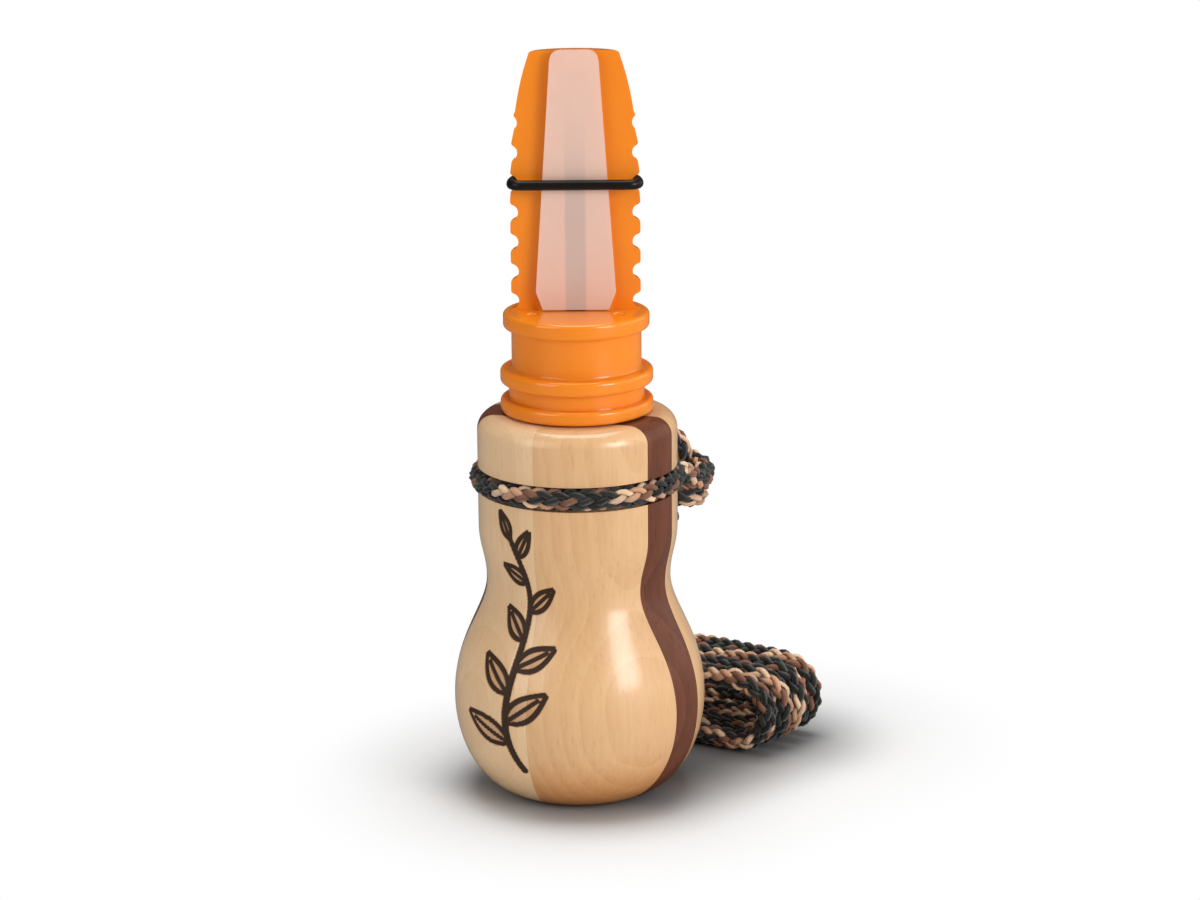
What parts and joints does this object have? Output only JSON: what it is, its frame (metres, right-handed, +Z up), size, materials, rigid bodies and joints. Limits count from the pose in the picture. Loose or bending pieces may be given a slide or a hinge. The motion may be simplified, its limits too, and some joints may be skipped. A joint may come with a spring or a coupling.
{
  "type": "elk call",
  "caption": "Open-reed game call: turned laminated barrel, notched tone board plugged into it, film reed under a rubber band, and a braided lanyard looped round the neck.",
  "frame": {"origin": "centre of the barrel's base, on the surface it stands on", "axes": "+Z up along the barrel towards the reed's tip, -Y the way the reed faces, +X to the right seen from there"},
  "size_m": [0.0565, 0.0704, 0.1115],
  "materials": {
    "maple_pale": "pale maple, clear lacquer",
    "maple_gold": "golden maple, clear lacquer",
    "walnut": "walnut, clear lacquer",
    "orange_plastic": "moulded, soft gloss",
    "reed_film": "frosted translucent film",
    "black_rubber": "smooth black rubber",
    "camo_cord": "braided camouflage cord",
    "tie_cord": "dark braided tie"
  },
  "bodies": {
    "barrel": {"barrel_front_left_maple": "maple_pale", "barrel_front_right_maple": "maple_gold", "barrel_walnut_strip": "walnut", "barrel_back_maple": "maple_gold", "lanyard_loop": "camo_cord", "lanyard_knot": "camo_cord", "lanyard_fall": "camo_cord", "lanyard_hank": "camo_cord", "hank_tie": "tie_cord"},
    "plug_seals": {"plug_seal_upper": "black_rubber", "plug_seal_lower": "black_rubber"},
    "insert": {"tone_board": "orange_plastic", "reed_heel": "reed_film"},
    "reed_blade": {"reed_blade": "reed_film"},
    "reed_band": {"reed_band": "black_rubber"}
  },
  "joints": [
    {"name": "insert_pull", "type": "slide", "parent": "barrel", "child": "plug_seals", "axis": [0, 0, 1], "range_m": [0, 0.021]},
    {"name": "insert_turn", "type": "hinge", "parent": "plug_seals", "child": "insert", "pos_m": [0, 0, 0.0583], "axis": [0, 0, 1], "continuous": true},
    {"name": "band_shift", "type": "slide", "parent": "insert", "child": "reed_band", "axis": [0, 0, 1], "range_m": [-0.01752, 0.00876], "deforming": ["reed_band"]},
    {"name": "reed_flex", "type": "hinge", "parent": "insert", "child": "reed_blade", "pos_m": [0, -0.00077, 0.09202], "axis": [1, 0, 0], "range_deg": [-2.2, 1], "stiffness_Nm_per_rad": 0.0005}
  ]
}
